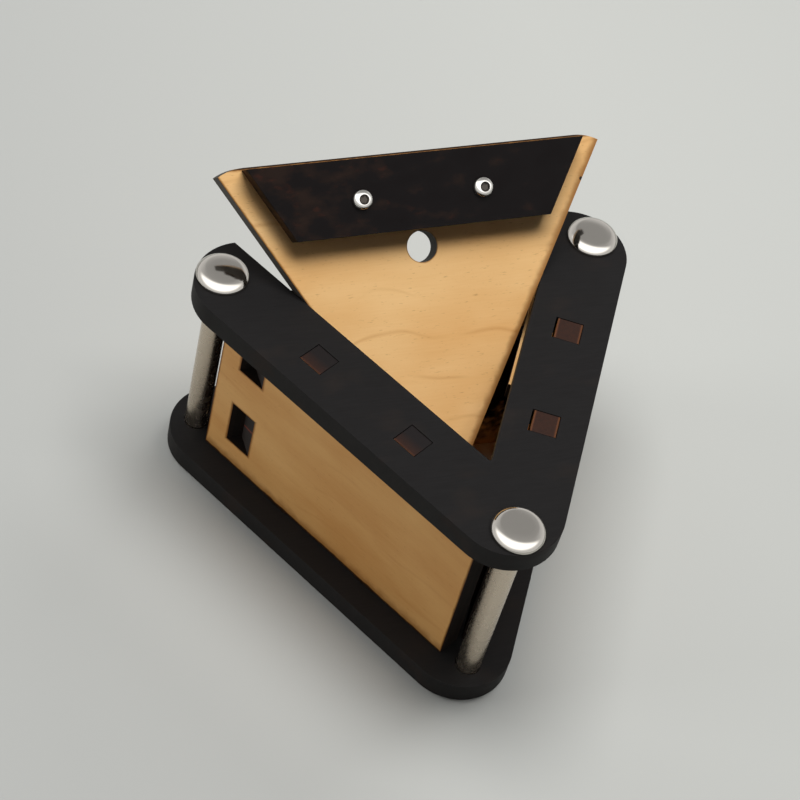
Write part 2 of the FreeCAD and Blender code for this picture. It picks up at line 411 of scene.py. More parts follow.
@dataclass(frozen=True)
class BareBirch(Finish):
    """Birch plywood, sanded and left bare: a pale satin face with flecks, faint growth lines and scorched rims."""

    name: str
    pale: str = "#E9C087"
    deep: str = "#D8A466"
    fleck: str = "#96652F"
    line: str = "#B4793C"
    scorch: str = "#7C4A17"
    char: str = "#24150A"
    roughness: float = 0.48
    specular: float = 0.22
    line_strength: float = 0.35
    line_spacing: float = 11.0
    burns: tuple[Burn, ...] = ()

    def draw(self, paint: Paint) -> None:
        """Draw the wood, its scorch marks and its fibres.

        Args:
            paint: The material.
        """
        colour = self.wood(paint)
        if self.burns:
            colour = self.scorched(paint, colour)
        fibre = paint.noise((7.0, 0.3, 1.0), 3.1)
        rough = paint.add("MapRange", fibre, 0.0, 1.0, self.roughness - 0.08, self.roughness + 0.12)
        paint.finish(colour, rough, self.specular, (fibre, 0.12, 0.04))

    def wood(self, paint: Paint) -> Source:
        """The colour of the clean wood.

        Args:
            paint: The material.

        Returns:
            The colour.
        """
        cloud = paint.noise((34.0, 15.0, 30.0), 1.7, 3.0)
        fibre = paint.noise((9.0, 0.45, 5.0), 5.3, 3.0)
        mixed = paint.add("Mix", {0: 0.17, 2: cloud, 3: fibre})
        tone = paint.add("MapRange", mixed, 0.27, 0.73)
        specks = paint.noise((1.5, 0.3, 1.0), 8.9, 1.0)
        fleck = paint.add("MapRange", specks, 0.67, 0.8, 0.0, 0.4)
        return paint.layered(self.pale, (tone, self.deep), (fleck, self.fleck), (self.growth_lines(paint), self.line))

    def growth_lines(self, paint: Paint) -> Node:
        """Thin wavy lines that come and go along the grain.

        Args:
            paint: The material.

        Returns:
            How strong the line is at each spot.
        """
        across = paint.add("SeparateXYZ", paint.spot).outputs[1]
        bend = paint.noise((26.0, 60.0, 60.0), 12.4, 1.0)
        wavy = paint.add("Math", bend, 16.0, across, operation="MULTIPLY_ADD")
        gap = paint.add("Math", wavy, self.line_spacing / 2, operation="PINGPONG")
        thin = paint.add("MapRange", gap, 0.0, 0.7, self.line_strength, 0.0)
        breaks = paint.noise((24.0, 9.0, 30.0), 17.9, 1.0)
        shown = paint.add("MapRange", breaks, 0.46, 0.6)
        return paint.add("Math", thin, shown, operation="MULTIPLY")

    def scorched(self, paint: Paint, wood: Source) -> Source:
        """Darken the wood towards its cuts, first golden brown, then to soot.

        Args:
            paint: The material.
            wood: The clean wood's colour.

        Returns:
            The colour.
        """
        wobble = paint.noise((3.0, 3.0, 3.0), 21.5, 2.0)
        burnt, *others = (burn.strength(paint, wobble) for burn in self.burns)
        for other in others:
            burnt = paint.add("Math", burnt, other, operation="MAXIMUM")
        golden = paint.add("MapRange", burnt, 0.0, 0.75, 0.0, 0.85)
        soot = paint.add("MapRange", burnt, 0.72, 1.0)
        return paint.layered(wood, (golden, self.scorch), (soot, self.char))


@dataclass(frozen=True)
class ToastedCut(Finish):
    """A laser-cut plywood edge: the plies show as brown bands under soot, with fine upright strokes of the beam."""

    name: str
    thickness: float
    bottom: float
    long_grain: str
    end_grain: str
    glue: str
    plies: int = 5
    specular: float = 0.35

    def draw(self, paint: Paint) -> None:
        """Draw the plies, the glue between them, and the soot.

        Args:
            paint: The material.
        """
        height = paint.add("SeparateXYZ", paint.spot).outputs[2]
        share = self.plies / self.thickness
        layer = paint.add("Math", height, share, -self.bottom * share, operation="MULTIPLY_ADD")
        kind = paint.add("Math", layer, 2.0, operation="FLOORED_MODULO")
        crossed = paint.add("Math", kind, 1.0, operation="GREATER_THAN")
        turn = paint.add("Math", layer, 1.0, operation="PINGPONG")
        whole = paint.add("Math", turn, -0.5, operation="ADD")
        near = paint.add("Math", whole, operation="ABSOLUTE")
        seam = paint.add("MapRange", near, 0.4, 0.5, 0.0, 0.7)
        # The beam's strokes are about 0.1 mm apart, drawn four times as coarse so that they show
        strokes = paint.noise((0.4, 0.4, 9.0), 4.4)
        patch = paint.noise((5.0, 5.0, 3.0), 9.2)
        soot = paint.add("Mix", {0: 0.55, 2: strokes, 3: patch})
        sooty = paint.add("MapRange", soot, 0.4, 0.66, 0.0, 0.75)
        colour = paint.layered(self.long_grain, (crossed, self.end_grain), (seam, self.glue), (sooty, self.glue))
        paint.finish(colour, 0.72, self.specular, (strokes, 0.3, 0.05))


@dataclass(frozen=True)
class BlackStain(Finish):
    """Plywood stained black and rubbed with wax: nearly even, with a faint grain, browner rubs and a little dust.

    If bare_inside isn't 0, the wood is left bare that far inside the post triangle, and behind bare_from.
    """

    name: str
    black: str = "#141313"
    grain: str = "#181717"
    rub: str = "#1F1B19"
    dust: str = "#8D8880"
    roughness: float = 0.62
    specular: float = 0.16
    bare_inside: float = 0.0
    bare_from: float = -34.0
    wood: str = "#EFD9BC"

    def draw(self, paint: Paint) -> None:
        """Draw the stain with its grain, rubs and dust.

        Args:
            paint: The material.
        """
        fibre = paint.noise((8.0, 0.5, 3.0), 2.3, 3.0)
        tone = paint.add("MapRange", fibre, 0.35, 0.7)
        patch = paint.noise((14.0, 9.0, 6.0), 6.1, 3.0)
        rubbed = paint.add("MapRange", patch, 0.55, 0.72, 0.0, 0.6)
        colour = paint.layered(self.black, (tone, self.grain), (rubbed, self.rub), (self.specks(paint), self.dust))
        if self.bare_inside:
            colour = paint.layered(colour, (self.unstained(paint), self.wood))
        rough = paint.add("MapRange", patch, 0.0, 1.0, self.roughness - 0.1, self.roughness + 0.1)
        paint.finish(colour, rough, self.specular, (fibre, 0.15, 0.03))

    def unstained(self, paint: Paint) -> Node:
        """Where the wood is left bare, inside the walls.

        Args:
            paint: The material.

        Returns:
            1 there, 0 elsewhere.
        """
        side = FRONT_Y * BACK + self.bare_inside
        edges = (
            EdgeBurn((ACROSS, BACK), side, 1.0),
            EdgeBurn((-ACROSS, BACK), side, 1.0),
            EdgeBurn((0, -1), self.bare_inside - REAR_Y, 1.0),
            EdgeBurn((0, 1), self.bare_from, 1.0),
        )
        depth, *others = (edge.distance(paint) for edge in edges)
        for other in others:
            depth = paint.add("Math", depth, other, operation="MINIMUM")
        return paint.add("Math", depth, 0.0, operation="GREATER_THAN")

    def specks(self, paint: Paint) -> Node:
        """Grains of dust about 0.2 mm across, roughly one in each square centimetre.

        Args:
            paint: The material.

        Returns:
            How much of a spot a grain covers.
        """
        cells = paint.add("TexVoronoi", {"Vector": paint.spot, "Scale": 1 / 9.0}).outputs
        grain = paint.add("MapRange", cells["Distance"], 0.012, 0.02, 0.8, 0.0)
        pick = paint.add("SeparateXYZ", cells["Color"]).outputs[0]
        some = paint.add("Math", pick, 0.45, operation="GREATER_THAN")
        return paint.add("Math", grain, some, operation="MULTIPLY")


@dataclass(frozen=True)
class MottledStain(Finish):
    """Plywood burnt and stained very dark, with reddish-brown wood showing through in patches."""

    name: str
    black: str = "#0C0909"
    brown: str = "#1D1410"
    red: str = "#311B15"
    roughness: float = 0.55

    def draw(self, paint: Paint) -> None:
        """Draw the stain and the wood that shows through it.

        Args:
            paint: The material.
        """
        patch = paint.noise((7.0, 4.5, 5.0), 3.7, 4.0)
        side = paint.add("SeparateXYZ", paint.spot).outputs[0]
        # The left half is browner than the right
        lean = paint.add("MapRange", side, -45.0, 10.0, 0.07, -0.14)
        shown = paint.add("Math", patch, lean, operation="ADD")
        browned = paint.add("MapRange", shown, 0.46, 0.66)
        specks = paint.noise((3.5, 2.0, 3.0), 14.2, 3.0)
        redder = paint.add("MapRange", specks, 0.56, 0.72)
        both = paint.add("Math", redder, browned, operation="MULTIPLY")
        colour = paint.layered(self.black, (browned, self.brown), (both, self.red))
        rough = paint.add("MapRange", patch, 0.0, 1.0, self.roughness + 0.12, self.roughness - 0.12)
        paint.finish(colour, rough, 0.08, (patch, 0.25, 0.06))


@dataclass(frozen=True)
class TabEnd(Finish):
    """The end of a plywood tab, stained with its plate: brown end grain between two paler face plies.

    One side may have taken more black than the other.
    """

    name: str
    core: str = "#2E1C15"
    veneer: str = "#553421"
    black: str = "#161313"
    dark_side: float = 0.0

    def draw(self, paint: Paint) -> None:
        """Draw the plies and the stain over them.

        Args:
            paint: The material.
        """
        depth = paint.add("SeparateXYZ", paint.spot).outputs[2]
        away = paint.add("Math", depth, operation="ABSOLUTE")
        ply = paint.add("MapRange", away, 2.65, 2.95, 0.0, 0.8)
        grain = paint.noise((0.5, 3.0, 0.5), 5.9)
        streaked = paint.add("MapRange", grain, 0.3, 0.7, 0.0, 0.45)
        stained = paint.add("MapRange", depth, 3.6, -0.5, 0.0, self.dark_side)
        colour = paint.layered(self.core, (streaked, self.black), (ply, self.veneer), (stained, self.black))
        paint.finish(colour, 0.5, 0.2, (grain, 0.3, 0.05))


@dataclass(frozen=True)
class CharredEnd(Finish):
    """The sooty end of a cross wall tab, with a thin red-brown line left halfway up it."""

    name: str
    middles: tuple[float, ...]
    slope: float = 0.69
    soot: str = "#17120F"
    line: str = "#6E3527"

    def draw(self, paint: Paint) -> None:
        """Draw a line across each tab.

        Args:
            paint: The material.
        """
        _, y, z = paint.add("SeparateXYZ", paint.spot).outputs
        height = paint.add("Math", z, -self.slope, y, operation="MULTIPLY_ADD")
        colour = self.soot
        for middle in self.middles:
            moved = paint.add("Math", height, middle, operation="SUBTRACT")
            away = paint.add("Math", moved, operation="ABSOLUTE")
            line = paint.add("MapRange", away, 0.1, 0.3, 0.9, 0.0)
            colour = paint.layered(colour, (line, self.line))
        paint.finish(colour, 0.75, 0.3, (paint.noise((0.6, 0.6, 2.5), 2.9), 0.3, 0.05))


# Metal finishes


@dataclass(frozen=True)
class TurnedSteel(Finish):
    """Nickel-plated steel, turned on a lathe and polished: a bright metal whose roughness varies with handling.

    Below satin_below it is rougher by satin and browner. Where there are sockets, socket is their place on the right
    side and their radius, and their recesses are painted darker as painted shade.
    """

    name: str
    colour: str = "#C9C4BC"
    roughness: float = 0.12
    smudge: float = 0.1
    satin: float = 0.0
    satin_colour: str = "#C4B7A5"
    satin_below: float = 0.0
    socket: Triple | None = None
    painted_socket_shade: str = "#3B3733"

    def draw(self, paint: Paint) -> None:
        """Draw the metal, whose axis is the sheet's z.

        Args:
            paint: The material.
        """
        colour = self.colour
        handled = paint.noise((2.2, 2.2, 2.2), 3.3, 3.0)
        rough = paint.add("MapRange", handled, 0.35, 0.7, self.roughness, self.roughness + self.smudge)
        if self.satin:
            height = paint.add("SeparateXYZ", paint.spot).outputs[2]
            low = paint.add("Math", height, self.satin_below, operation="LESS_THAN")
            rough = paint.add("Math", low, self.satin, rough, operation="MULTIPLY_ADD")
            colour = paint.layered(colour, (low, self.satin_colour))
        if self.socket:
            # Two heads, one on either side: the recess of each is painted darker than its rim, as painted shade
            x, y, radius = self.socket
            flat = paint.add("VectorMath", paint.spot, (1.0, 1.0, 0.0), operation="MULTIPLY")
            folded = paint.add("VectorMath", flat, operation="ABSOLUTE")
            away = paint.add("VectorMath", folded, (x, y, 0.0), operation="DISTANCE")
            inside = paint.add("Math", away, radius, operation="LESS_THAN")
            colour = paint.layered(colour, (inside, self.painted_socket_shade))
        paint.finish(colour, rough, metallic=1.0)


# Plywood pieces


@dataclass(frozen=True)
class EndPatch:
    """Where a board shows its third finish: faces that look in a direction, beyond a distance along it."""

    out: Triple
    beyond: float


@dataclass(frozen=True)
class PlyBoard:
    """One plywood piece, with the shape of its CAD node and its edges barely broken.

    The CAD mesh is copied and merged, and a bevel takes the edge off as sanding does. A polygon belongs to the face,
    or to the back where the board has one, if it looks along the sheet's z by more than facing.
    """

    node: str
    piece: str
    body: Body
    slot: Slot
    sheet: Sheet
    face: Finish
    cut: Finish
    end: Finish | None = None
    patches: tuple[EndPatch, ...] = ()
    back: Finish | None = None
    broken_edge: float = 0.12
    sharp_from: float = 35.0
    facing: float = 0.8
    same_corner: float = 0.001
    flat_within: float = 0.2

    def build(self, nodes: dict[str, Object]) -> Object:
        """Make the piece and hide its CAD node.

        Args:
            nodes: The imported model's nodes.

        Returns:
            The finished piece.
        """
        piece = new_object(self.piece, self.merged(nodes[self.node]))
        bevel = piece.modifiers.new("broken edge", "BEVEL")
        bevel.width = self.broken_edge * MM
        bevel.segments = 2
        bevel.limit_method = "ANGLE"
        bevel.angle_limit = math.radians(self.sharp_from)
        bevel.use_clamp_overlap = True
        normals = piece.modifiers.new("flat faces", "WEIGHTED_NORMAL")
        normals.mode = "FACE_AREA"
        normals.weight = 80
        plain_mesh(piece)
        for finish in filter(None, (self.face, self.cut, self.end, self.back)):
            piece.data.materials.append(finish.build(self.sheet))
        for polygon in piece.data.polygons:
            polygon.material_index = self.surface_of(polygon).value
        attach(piece, self.body.value)
        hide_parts(self.node)
        return piece

    def merged(self, cad: Object) -> Mesh:
        """A copy of the CAD mesh with its triangles joined into flat faces.

        Args:
            cad: The CAD node's object.

        Returns:
            The new mesh.
        """
        work = bmesh.new()
        work.from_mesh(cad.data)
        bmesh.ops.remove_doubles(work, verts=work.verts, dist=self.same_corner * MM)
        flat = math.radians(self.flat_within)
        bmesh.ops.dissolve_limit(work, angle_limit=flat, verts=work.verts, edges=work.edges)
        for face in work.faces:
            face.smooth = True
        mesh = bpy.data.meshes.new(self.piece)
        work.to_mesh(mesh)
        work.free()
        return mesh

    def surface_of(self, polygon: MeshPolygon) -> Surface:
        """Which kind of surface a polygon is.

        Args:
            polygon: One of the finished mesh's polygons.

        Returns:
            The kind of surface.
        """
        for patch in self.patches:
            out = Vector(patch.out)
            if polygon.normal.dot(out) > 0.5 and polygon.center.dot(out) > patch.beyond * MM:
                return Surface.END
        looks = polygon.normal.dot(self.sheet.out)
        if self.back and looks < -self.facing:
            return Surface.BACK
        return Surface.FACE if abs(looks) > self.facing else Surface.CUT


@dataclass(frozen=True)
class Plates:
    """The two black plates, whose outline is the post triangle with a margin and rounded corners."""

    def boards(self) -> list[PlyBoard]:
        """The base and the V of two arms."""
        made = []
        for node, piece, bottom, bare in (
            ("base_plate", "base_stained", 0.0, WALL_THICKNESS / 2),
            ("top_plate", "arms_stained", ARM_UNDER_Z, 0.0),
        ):
            sheet = Sheet.from_axes((0, 0, bottom), (1, 0, 0), (0, 0, 1))
            face = BlackStain(f"{piece}_face", bare_inside=bare)
            cut = BlackStain(f"{piece}_edge", black="#131211", grain="#171514", rub="#211A16", roughness=0.7)
            made.append(PlyBoard(node, piece, Body.BOX, Slot.BLACK, sheet, face, cut))
        return made


@dataclass(frozen=True)
class Walls:
    """The bare walls between the plates: two side walls, a low rear wall and the cross wall."""

    end_gap: float = 6.8
    rear_reach: float = 43.0
    rear_top: float = 51.85
    cross_y: float = 12.1175
    cross_top: float = 50.50
    cross_reach: float = 42.01
    tab_heights: tuple[Pair, ...] = ((14.60, 28.80), (42.75, 50.50))
    window_half: float = 3.926
    wood_pale: str = "#DBAC6E"
    wood_deep: str = "#C48C4E"
    # Painted shade: the near-black that the inner corner and the cross wall are painted with
    char: str = "#0B0807"

    @property
    def window_x(self) -> float:
        """How far the middle of the windows is from the rear post, halfway through the wall."""
        return (REAR_Y - self.cross_y) / ACROSS

    def side_burns(self, run: float) -> tuple[Burn, ...]:
        """The scorched borders of a side wall, and a wider band that darkens it towards its foot.

        Args:
            run: 1 where the sheet's x runs from the rear post to the front one, and -1 where it runs back.

        Returns:
            The borders.
        """
        edges = (
            EdgeBurn((0, 1), FLOOR_Z, 1.6, 1.6),
            # A wider band darkens the wall towards its foot
            EdgeBurn((0, 1), FLOOR_Z, 4.5, 0.62),
            EdgeBurn((0, -1), -ARM_UNDER_Z, 1.2, 0.8),
            EdgeBurn((run, 0), self.end_gap, 0.8, 0.9),
            EdgeBurn((-run, 0), self.end_gap - POST_SPACING, 0.8, 0.9),
        )
        slant, x = run * BACK / ACROSS, run * self.window_x
        windows = (
            WindowBurn((x, (low + high) / 2), (self.window_half, (high - low) / 2 + 0.1), slant, 1.0, 0.8)
            for low, high in self.tab_heights
        )
        return edges + tuple(windows)

    def board(self, name: str, sheet: Sheet, face: Finish, *rest: Any) -> PlyBoard:
        """One of the walls, whose cuts are sooty.

        Args:
            name: Its CAD node's name.
            sheet: Where it lies.
            face: Its face's finish.
            rest: The finish of its ends, where those are, and the finish of its back.

        Returns:
            The board.
        """
        # The cuts get the near-black of soot and painted shade
        cut = ToastedCut(f"{name}_cut", WALL_THICKNESS, -WALL_THICKNESS / 2, **SHADED_SOOTY_CUT)
        return PlyBoard(name, f"{name}_bare", Body.BOX, Slot.TAN, sheet, face, cut, *rest)

    def boards(self) -> list[PlyBoard]:
        """The four walls."""
        wood = {"pale": self.wood_pale, "deep": self.wood_deep}
        tabs = (EndPatch((0, 0, 1), TOP_Z - 1.0), EndPatch((0, 0, -1), -1.0))
        made = []
        for side, run, dark_side, veneer in (("left", 1, 1.0, "#3C2319"), ("right", -1, 0.0, "#553421")):
            origin = (-run * POST_SPACING / 2, REAR_Y, 0)
            sheet = Sheet.from_axes(origin, (BACK, -run * ACROSS, 0), (-run * ACROSS, -BACK, 0))
            burns = self.side_burns(run)
            face = BareBirch(f"{side}_wall_face", **wood, line_strength=0.2, burns=burns)
            # Painted shade: inside, the wood is painted black over 36 mm towards the corner where the two walls meet,
            # where little light gets in
            soot = EdgeBurn((-run, 0), self.end_gap - POST_SPACING, 36.0, 3.0)
            back = BareBirch(f"{side}_wall_inside", **wood, char=self.char, specular=0.0, burns=(*burns, soot))
            end = TabEnd(f"{side}_tab_end", veneer=veneer, dark_side=dark_side)
            made.append(self.board(f"{side}_wall", sheet, face, end, tabs, back))
        burns = (
            EdgeBurn((0, 1), FLOOR_Z, 2.0, 0.6),
            EdgeBurn((0, -1), -self.rear_top, 0.8, 0.9),
            EdgeBurn((1, 0), -self.rear_reach, 0.8, 0.9),
            EdgeBurn((-1, 0), -self.rear_reach, 0.8, 0.9),
        )
        sheet = Sheet.from_axes((0, REAR_Y, 0), (-1, 0, 0), (0, 1, 0))
        face = BareBirch("rear_wall_face", **wood, burns=burns)
        made.append(self.board("rear_wall", sheet, face, TabEnd("rear_tab_end"), tabs[1:]))
        # Painted shade: the cross wall is painted black from its top edge down, where the lid shades it, and browner
        # towards its foot, where more light reaches
        painted_cross_shade = EdgeBurn((0, -1), -self.cross_top, 58.0, 1.9)
        sheet = Sheet.from_axes((0, self.cross_y, 0), (1, 0, 0), (0, -1, 0))
        face = BareBirch("cross_wall_face", scorch="#4A3624", char=self.char, specular=0.1, burns=(painted_cross_shade,))
        end = CharredEnd("cross_tab_end", tuple((low + high) / 2 for low, high in self.tab_heights))
        ends = tuple(EndPatch((way, 0, 0), self.cross_reach - 0.5) for way in (-1, 1))
        made.append(self.board("cross_wall", sheet, face, end, ends))
        return made


@dataclass(frozen=True)
class Runners:
    """The two ledges under the arms that the closed lid slides on."""

    top: float = 52.85
    thickness: float = 5.0

    def boards(self) -> list[PlyBoard]:
        """The left and the right runner."""
        made = []
        for side, way in (("left", -1), ("right", 1)):
            sheet = Sheet.from_axes((way * POST_SPACING / 2, REAR_Y, self.top), (-BACK * way, -ACROSS, 0), (0, 0, 1))
            face = BareBirch(f"{side}_runner_face", line_strength=0.2)
            # The cuts get the near-black of soot and painted shade
            cut = ToastedCut(f"{side}_runner_cut", self.thickness, -self.thickness, **SHADED_SOOTY_CUT)
            made.append(PlyBoard(f"{side}_runner", f"{side}_runner_bare", Body.BOX, Slot.BIRCH, sheet, face, cut))
        return made


# The lid


@dataclass(frozen=True)
class Lid:
    """The triangular lid with its grip bar, leaning in the opening.

    Its sheet is the closed lid's own plan: x across, y the way it slides out, z = 0 on its top face.
    """

    origin: Triple = (0.3041, 13.9346, 61.7409)
    tilt: float = 41.66
    turn: float = 0.8
    thickness: float = 5.0
    side_inset: float = 3.75
    rear_y: float = REAR_Y + 10.4
    hole_y: float = 15.2775
    hole_radius: float = 4.0
    bar_thickness: float = 5.0
    knot: Pair = (44.9, 28.0)

    @property
    def sheet(self) -> Sheet:
        """Where the lid lies."""
        turned = Matrix.Rotation(math.radians(self.tilt), 3, "X") @ Matrix.Rotation(math.radians(self.turn), 3, "Z")
        return Sheet(Vector(self.origin), turned)

    def boards(self) -> list[PlyBoard]:
        """The lid board and the bar."""
        sheet, side = self.sheet, FRONT_Y * BACK + self.side_inset
        burns = (
            EdgeBurn((ACROSS, BACK), side, 0.7, 0.8),
            EdgeBurn((-ACROSS, BACK), side, 2.4, 0.7),
            EdgeBurn((0, -1), -self.rear_y, 1.1, 1.15),
            HoleBurn((0, self.hole_y), self.hole_radius, 0.4, 0.7),
            HoleBurn(self.knot, 0.1, 0.9, 1.3),
        )
        # Painted light: the cuts of the sides are painted dark as painted shade, and that of the rear edge paler as
        # where light falls, though all are the same mid-brown toasted wood
        cut, rear = (
            ToastedCut(name, self.thickness, -self.thickness, long_grain, end_grain, glue)
            for name, long_grain, end_grain, glue in (
                ("lid_cut", "#3A352E", "#2E2A25", "#1C1815"),
                ("lid_rear_cut", "#A08A68", "#8A7352", "#4A3824"),
            )
        )
        way = sheet.turn.col[1]
        ends = (EndPatch(tuple(way), way.dot(sheet.origin) + self.rear_y - 0.3),)
        face = BareBirch("lid_face", burns=burns)
        board = PlyBoard("lid_board", "lid_bare", Body.LID, Slot.BIRCH, sheet, face, cut, rear, ends)
        face = MottledStain("bar_face")
        cut = MottledStain("bar_cut", black="#171009", brown="#2A1A0D", red="#3A2214", roughness=0.7)
        return [board, PlyBoard("lid_bar", "grip_bar", Body.LID, Slot.DARK, sheet, face, cut)]


# Turned metal parts


@dataclass
class Profile:
    """The outline of a turned part, from its lowest point on the axis to its highest.

    Each step is (radius, height, six), in millimetres. Where six is 1 the ring is a hexagon, and its radius is the
    distance to the hexagon's corners.
    """

    steps: list[Triple] = field(default_factory=list)

    def to(self, *points: tuple[float, ...]) -> "Profile":
        """Go straight from point to point, each a radius and a height, and 1 where the ring is a hexagon.

        Args:
            points: The points.

        Returns:
            The profile.
        """
        self.steps.extend((*point, 0.0)[:3] for point in points)
        return self

    def arc(self, middle: Pair, radius: float, start: float, end: float, count: int) -> "Profile":
        """Go round an arc.

        Args:
            middle: The arc's centre, as radius and height.
            radius: The arc's radius.
            start: The angle of its first point, in degrees, 0 being outwards and 90 up.
            end: The angle of its last point.
            count: How many straight pieces it has.

        Returns:
            The profile.
        """
        angles = (math.radians(start + (end - start) * step / count) for step in range(count + 1))
        return self.to(*((middle[0] + radius * math.cos(a), middle[1] + radius * math.sin(a)) for a in angles))

    def through(self, bend: Pair, end: Pair, count: int) -> "Profile":
        """Go from the last point round the arc that passes through bend and ends at end.

        Args:
            bend: A point of the arc.
            end: Its last point.
            count: How many straight pieces it has.

        Returns:
            The profile.
        """
        ax, ay = self.steps.pop()[:2]
        (bx, by), (cx, cy) = bend, end
        double = 2 * (ax * (by - cy) + bx * (cy - ay) + cx * (ay - by))
        a2, b2, c2 = ax * ax + ay * ay, bx * bx + by * by, cx * cx + cy * cy
        mx = (a2 * (by - cy) + b2 * (cy - ay) + c2 * (ay - by)) / double
        my = (a2 * (cx - bx) + b2 * (ax - cx) + c2 * (bx - ax)) / double
        start = math.degrees(math.atan2(ay - my, ax - mx))
        stop = math.degrees(math.atan2(cy - my, cx - mx))
        return self.arc((mx, my), math.hypot(ax - mx, ay - my), start, stop, count)

    def as_object(self, name: str) -> Object:
        """The outline as a string of points, for the lathe to read.

        Args:
            name: The object's name.

        Returns:
            The object.
        """
        mesh = bpy.data.meshes.new(name)
        mesh.from_pydata([(r * MM, 0, h * MM) for r, h, _ in self.steps], [], [])
        sides = mesh.attributes.new("six", "FLOAT", "POINT")
        sides.data.foreach_set("value", [six for _, _, six in self.steps])
        return new_object(name, mesh)


class Lathe:
    """A geometry node tree that turns a profile into a closed solid, with a copy of it at every point of its host."""

    INPUTS = (
        ("Profile", "NodeSocketObject"),
        ("Sides", "NodeSocketInt"),
        ("Lean", "NodeSocketVector"),
        ("Turn spread", "NodeSocketFloat"),
        ("Seed", "NodeSocketInt"),
        ("Finish", "NodeSocketMaterial"),
    )

    def __init__(self) -> None:
        """Build the tree."""
        self.tree = bpy.data.node_groups.new("lathe", "GeometryNodeTree")
        face = self.tree.interface
        face.new_socket("Geometry", in_out="INPUT", socket_type="NodeSocketGeometry")
        self.sockets = {
            name: face.new_socket(name, in_out="INPUT", socket_type=kind).identifier for name, kind in self.INPUTS
        }
        face.new_socket("Geometry", in_out="OUTPUT", socket_type="NodeSocketGeometry")
        graph = Graph(self.tree)
        given = graph.add("NodeGroupInput").outputs
        least = graph.add("Math", given["Turn spread"], -1.0, operation="MULTIPLY")
        spread = {2: least, 3: given["Turn spread"], "Seed": given["Seed"]}
        spin = graph.add("FunctionNodeRandomValue", spread, data_type="FLOAT")
        about = graph.add("CombineXYZ", 0.0, 0.0, spin)
        lean = graph.add("FunctionNodeEulerToRotation", given["Lean"])
        spun = graph.add("FunctionNodeEulerToRotation", about)
        turned = graph.add("FunctionNodeRotateRotation", lean, spun, rotation_space="LOCAL")
        solid = self.turned(graph, given["Profile"], given["Sides"])
        places = {"Points": given["Geometry"], "Instance": solid, "Rotation": turned}
        real = graph.add("GeometryNodeRealizeInstances", graph.add("GeometryNodeInstanceOnPoints", places))
        dressed = graph.add("GeometryNodeSetMaterial", {0: real, "Material": given["Finish"]})
        graph.add("NodeGroupOutput", dressed)

    def turned(self, graph: Graph, profile: NodeSocket, sides: NodeSocket) -> Node:
        """Wrap a grid round the axis, one row of it for each point of the profile.

        Args:
            graph: The tree in the making.
            profile: The profile object's socket.
            sides: How many columns go round.

        Returns:
            The closed solid.
        """
        add = graph.add
        outline = add("GeometryNodeObjectInfo", {"Object": profile}).outputs["Geometry"]
        rows = add("GeometryNodeAttributeDomainSize", outline, component="MESH").outputs["Point Count"]
        columns = add("Math", sides, 1.0, operation="ADD")
        grid = add("GeometryNodeMeshGrid", {"Vertices X": columns, "Vertices Y": rows})
        index = add("GeometryNodeInputIndex")
        row = add("Math", index, rows, operation="MODULO")
        column = add("Math", add("Math", index, rows, operation="DIVIDE"), operation="FLOOR")
        step = add("Math", math.tau, sides, operation="DIVIDE")
        angle = add("Math", column, step, operation="MULTIPLY")
        at = add("GeometryNodeInputPosition")
        place = add("GeometryNodeSampleIndex", outline, at, row, data_type="FLOAT_VECTOR")
        x, _, z = add("SeparateXYZ", place).outputs
        six = add("GeometryNodeInputNamedAttribute", {"Name": "six"}, data_type="FLOAT")
        hexagon = add("GeometryNodeSampleIndex", outline, six, row)
        # A hexagon's flat is nearer the axis than its corners, by the cosine of the angle from the flat's middle
        sector = add("Math", angle, math.pi / 3, operation="FLOORED_MODULO")
        swing = add("Math", sector, math.pi / 6, operation="SUBTRACT")
        cosine = add("Math", swing, operation="COSINE")
        flat = add("Math", math.cos(math.pi / 6), cosine, operation="DIVIDE")
        radius = add("Math", x, add("Mix", {0: hexagon, 2: 1.0, 3: flat}), operation="MULTIPLY")
        ways = (add("Math", angle, operation=way) for way in ("COSINE", "SINE"))
        plan = (add("Math", way, radius, operation="MULTIPLY") for way in ways)
        wrapped = add("GeometryNodeSetPosition", {0: grid, "Position": add("CombineXYZ", *plan, z)})
        closed = add("GeometryNodeMergeByDistance", {0: wrapped, "Distance": 0.0005 * MM})
        return add("GeometryNodeSetShadeSmooth", closed)


@dataclass(frozen=True)
class TurnedParts:
    """Copies of one turned part on one body."""

    piece: str
    nodes: tuple[str, ...]
    body: Body
    slot: Slot
    profile: Profile
    places: tuple[Vector, ...]
    sheet: Sheet
    finish: Finish
    sides: int = 72
    turn_spread: float = 0.0
    seed: int = 1
    sharp_from: float = 38.0

    def build(self, lathe: Lathe) -> Object:
        """Turn the parts, set them in place and hide their CAD nodes.

        Args:
            lathe: The tree that turns them.

        Returns:
            The finished piece.
        """
        mesh = bpy.data.meshes.new(self.piece)
        mesh.from_pydata(list(self.places), [], [])
        piece = new_object(self.piece, mesh)
        outline = self.profile.as_object(f"{self.piece}_outline")
        modifier = piece.modifiers.new("lathe", "NODES")
        modifier.node_group = lathe.tree
        values = {
            "Profile": outline,
            "Sides": self.sides,
            "Lean": self.sheet.turn.to_euler(),
            "Turn spread": self.turn_spread,
            "Seed": self.seed,
            "Finish": self.finish.build(self.sheet),
        }
        for name, value in values.items():
            modifier[lathe.sockets[name]] = value
        plain_mesh(piece)
        piece.data.set_sharp_from_angle(angle=math.radians(self.sharp_from))
        bpy.data.objects.remove(outline)
        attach(piece, self.body.value)
        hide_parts(*self.nodes)
        return piece


